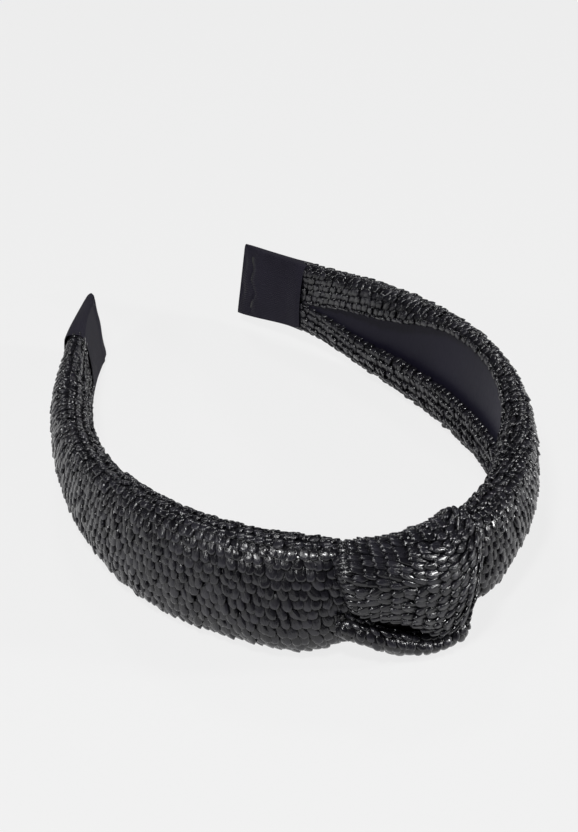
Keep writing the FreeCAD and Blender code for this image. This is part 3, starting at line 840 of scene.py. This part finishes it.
def make_ribbon(side):
    """A ribbed ribbon folded over the tip: a flattened sleeve, pinched shut at its end."""
    word = WORD[side]
    first, last = RIBBON_FIRST[side], RIBBON_LAST[side]
    steps = np.concatenate([np.linspace(first, FINE_FROM, 34), np.linspace(FINE_FROM + 0.4, last, 26)])
    s, t = np.meshgrid(steps, np.arange(RIBBON_ROUND) / RIBBON_ROUND, indexing="ij")
    low, high = edges_at(side, np.minimum(s, HALF_LENGTH))
    middle = (low + high) / 2.0
    reach = (high - low) / 2.0 + 0.05 + 0.10 * smoothstep(s, 180.0, last) ** 2
    half = np.interp(s, [first, first + 1.6, 173.0, 185.0, 188.4, last], [3.6, 3.5, 2.5, 1.9, 1.3, 0.42])
    # Once round: outer face, upper edge, inner face, lower edge.
    cos, sin = np.cos(2.0 * math.pi * t), np.sin(2.0 * math.pi * t)
    out = half * signed_power(cos, 0.55)
    height = (reach - half) * np.clip(sin * 1.25, -1, 1) + half * signed_power(sin, 2.2)
    path = np.stack([out[0], height[0]], axis=-1)
    length = np.concatenate([[0.0], np.cumsum(np.linalg.norm(np.diff(path, axis=0), axis=1))])
    rib = RIB_DEPTH * np.cos(2.0 * math.pi * length / RIB_PITCH)[None]
    crease_place = CREASE_PLACE + 0.55 * np.sin(height * 0.35) + 0.4 * np.sin(height * 0.9 + 1.0)
    crease = hump(s, crease_place, CREASE_WIDTH) * smoothstep(np.abs(height), 10.5, 7.0)
    fold = hump(s, crease_place - FOLD_BEFORE, FOLD_WIDTH)
    inner_face = smoothstep(-cos, 0.2, 0.8)
    out = out + rib * signed_power(cos, 0.3) + inner_face * (CREASE_DEPTH * crease - FOLD_DEPTH * fold)
    corner = smoothstep(s, 182.0, last) * smoothstep(-height / reach, 0.55, 1.0)
    end_wave = smoothstep(s, FINE_FROM, last) * np.sin(height * 0.75 + 0.8)
    points = at(side * (s + CORNER_PULL * corner + END_WAVE * end_wave), out, middle + height, middle)
    # The last ring is closed by faces from its upper half to its lower half.
    ring = (len(steps) - 1) * RIBBON_ROUND
    caps = [[ring + k, ring + k + 1, ring + RIBBON_ROUND - k - 1, ring + RIBBON_ROUND - k]
            for k in range(1, RIBBON_ROUND // 2 - 1)]
    quads = np.concatenate([grid_faces(len(steps), RIBBON_ROUND, wrap=True), np.array(caps)])
    obj = quads_object("ribbon_sleeve_" + word, points.reshape(-1, 3), quads, RIBBON)
    if side == LEFT:
        obj.data.flip_normals()
    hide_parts("ribbon_" + word)
    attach(obj, word + "_arm")


for side in (LEFT, RIGHT):
    make_ribbon(side)


# --------------------------------------------------------------------------------------------- stage
FLOOR_REACH, FLOOR_DROP = 6.0, 0.0002      # metres
# Each light's place in metres, the width of its disk in metres and its power in watts.
LIGHTS = {
    "key": ((-0.24, -0.30, 0.62), 0.11, 3.9),
    "right": ((0.58, -0.36, 0.34), 0.11, 3.4),
    "back": ((0.10, 0.45, 0.60), 0.12, 1.2),
    "left": ((-0.60, -0.25, 0.40), 0.12, 1.6),
}
LIGHT_TARGET = Vector((0.0, 0.0, 0.01))
WORLD_RAMP = {"From Min": 0.0, "From Max": 0.9, "To Min": 0.38, "To Max": 0.12}
CAMERA_AZIMUTH, CAMERA_ELEVATION, CAMERA_DISTANCE = math.radians(-23.7), math.radians(33.0), 644.75
CAMERA_AIM, AIM_RIGHT, AIM_UP = Vector((SHIFT_X, 60.0 + SHIFT_Y, 22.0)), -3.62, 5.51
SENSOR_WIDTH, LENS = 36.0, 155.7716


def make_floor():
    mesh = bpy.data.meshes.new("floor")
    corners = [(x * FLOOR_REACH, y * FLOOR_REACH, 0) for x, y in ((-1, -1), (1, -1), (1, 1), (-1, 1))]
    mesh.from_pydata(corners, [], [(0, 1, 2, 3)])
    n = Nodes("pale_floor")
    paper = n.noise(n.place(), 600.0, 2.0)
    n.set(Base_Color=n.mix(paper, (0.055, 0.055, 0.055, 1), (0.060, 0.060, 0.060, 1)), Roughness=0.9)
    n.shader.inputs["Specular IOR Level"].default_value = 0.0
    n.shader.inputs["Emission Color"].default_value = (1.0, 1.0, 1.0, 1.0)
    n.shader.inputs["Emission Strength"].default_value = 0.80
    mesh.materials.append(n.material)
    obj = bpy.data.objects.new("floor", mesh)
    bpy.context.scene.collection.objects.link(obj)
    obj.location.z = -FLOOR_DROP


def make_lights():
    for name, (place, width, power) in LIGHTS.items():
        data = bpy.data.lights.new(name, "AREA")
        data.shape = "DISK"
        data.size = width
        data.energy = power
        obj = bpy.data.objects.new(name, data)
        obj.location = place
        obj.rotation_euler = (LIGHT_TARGET - Vector(place)).to_track_quat("-Z", "Y").to_euler()
        bpy.context.scene.collection.objects.link(obj)


def make_world():
    """A pale surround, brighter at the horizon than overhead."""
    world = bpy.data.worlds.new("studio")
    bpy.context.scene.world = world
    world.use_nodes = True
    tree = world.node_tree
    view = tree.nodes.new("ShaderNodeTexCoord")
    split = tree.nodes.new("ShaderNodeSeparateXYZ")
    ramp = tree.nodes.new("ShaderNodeMapRange")
    for socket, value in WORLD_RAMP.items():
        ramp.inputs[socket].default_value = value
    tree.links.new(view.outputs["Generated"], split.inputs[0])
    tree.links.new(split.outputs["Z"], ramp.inputs["Value"])
    tree.links.new(ramp.outputs[0], tree.nodes["Background"].inputs["Strength"])


def make_camera():
    flat_back = Vector((math.sin(CAMERA_AZIMUTH), -math.cos(CAMERA_AZIMUTH), 0.0))
    back = flat_back * math.cos(CAMERA_ELEVATION) + Vector((0.0, 0.0, math.sin(CAMERA_ELEVATION)))
    right = Vector((math.cos(CAMERA_AZIMUTH), math.sin(CAMERA_AZIMUTH), 0.0))
    up = back.cross(right)
    target = CAMERA_AIM + right * AIM_RIGHT + up * AIM_UP
    data = bpy.data.cameras.new("camera")
    data.sensor_fit = "HORIZONTAL"
    data.sensor_width = SENSOR_WIDTH
    data.lens = LENS
    data.clip_start, data.clip_end = 0.01, 20.0
    camera = bpy.data.objects.new("camera", data)
    camera.location = (target + back * CAMERA_DISTANCE) * MM
    camera.rotation_euler = Matrix((right, up, back)).transposed().to_euler()
    bpy.context.scene.collection.objects.link(camera)
    bpy.context.scene.camera = camera


make_floor()
make_world()
make_lights()
make_camera()
bpy.context.scene.view_settings.view_transform = "Standard"
bpy.context.scene.view_settings.look = "None"
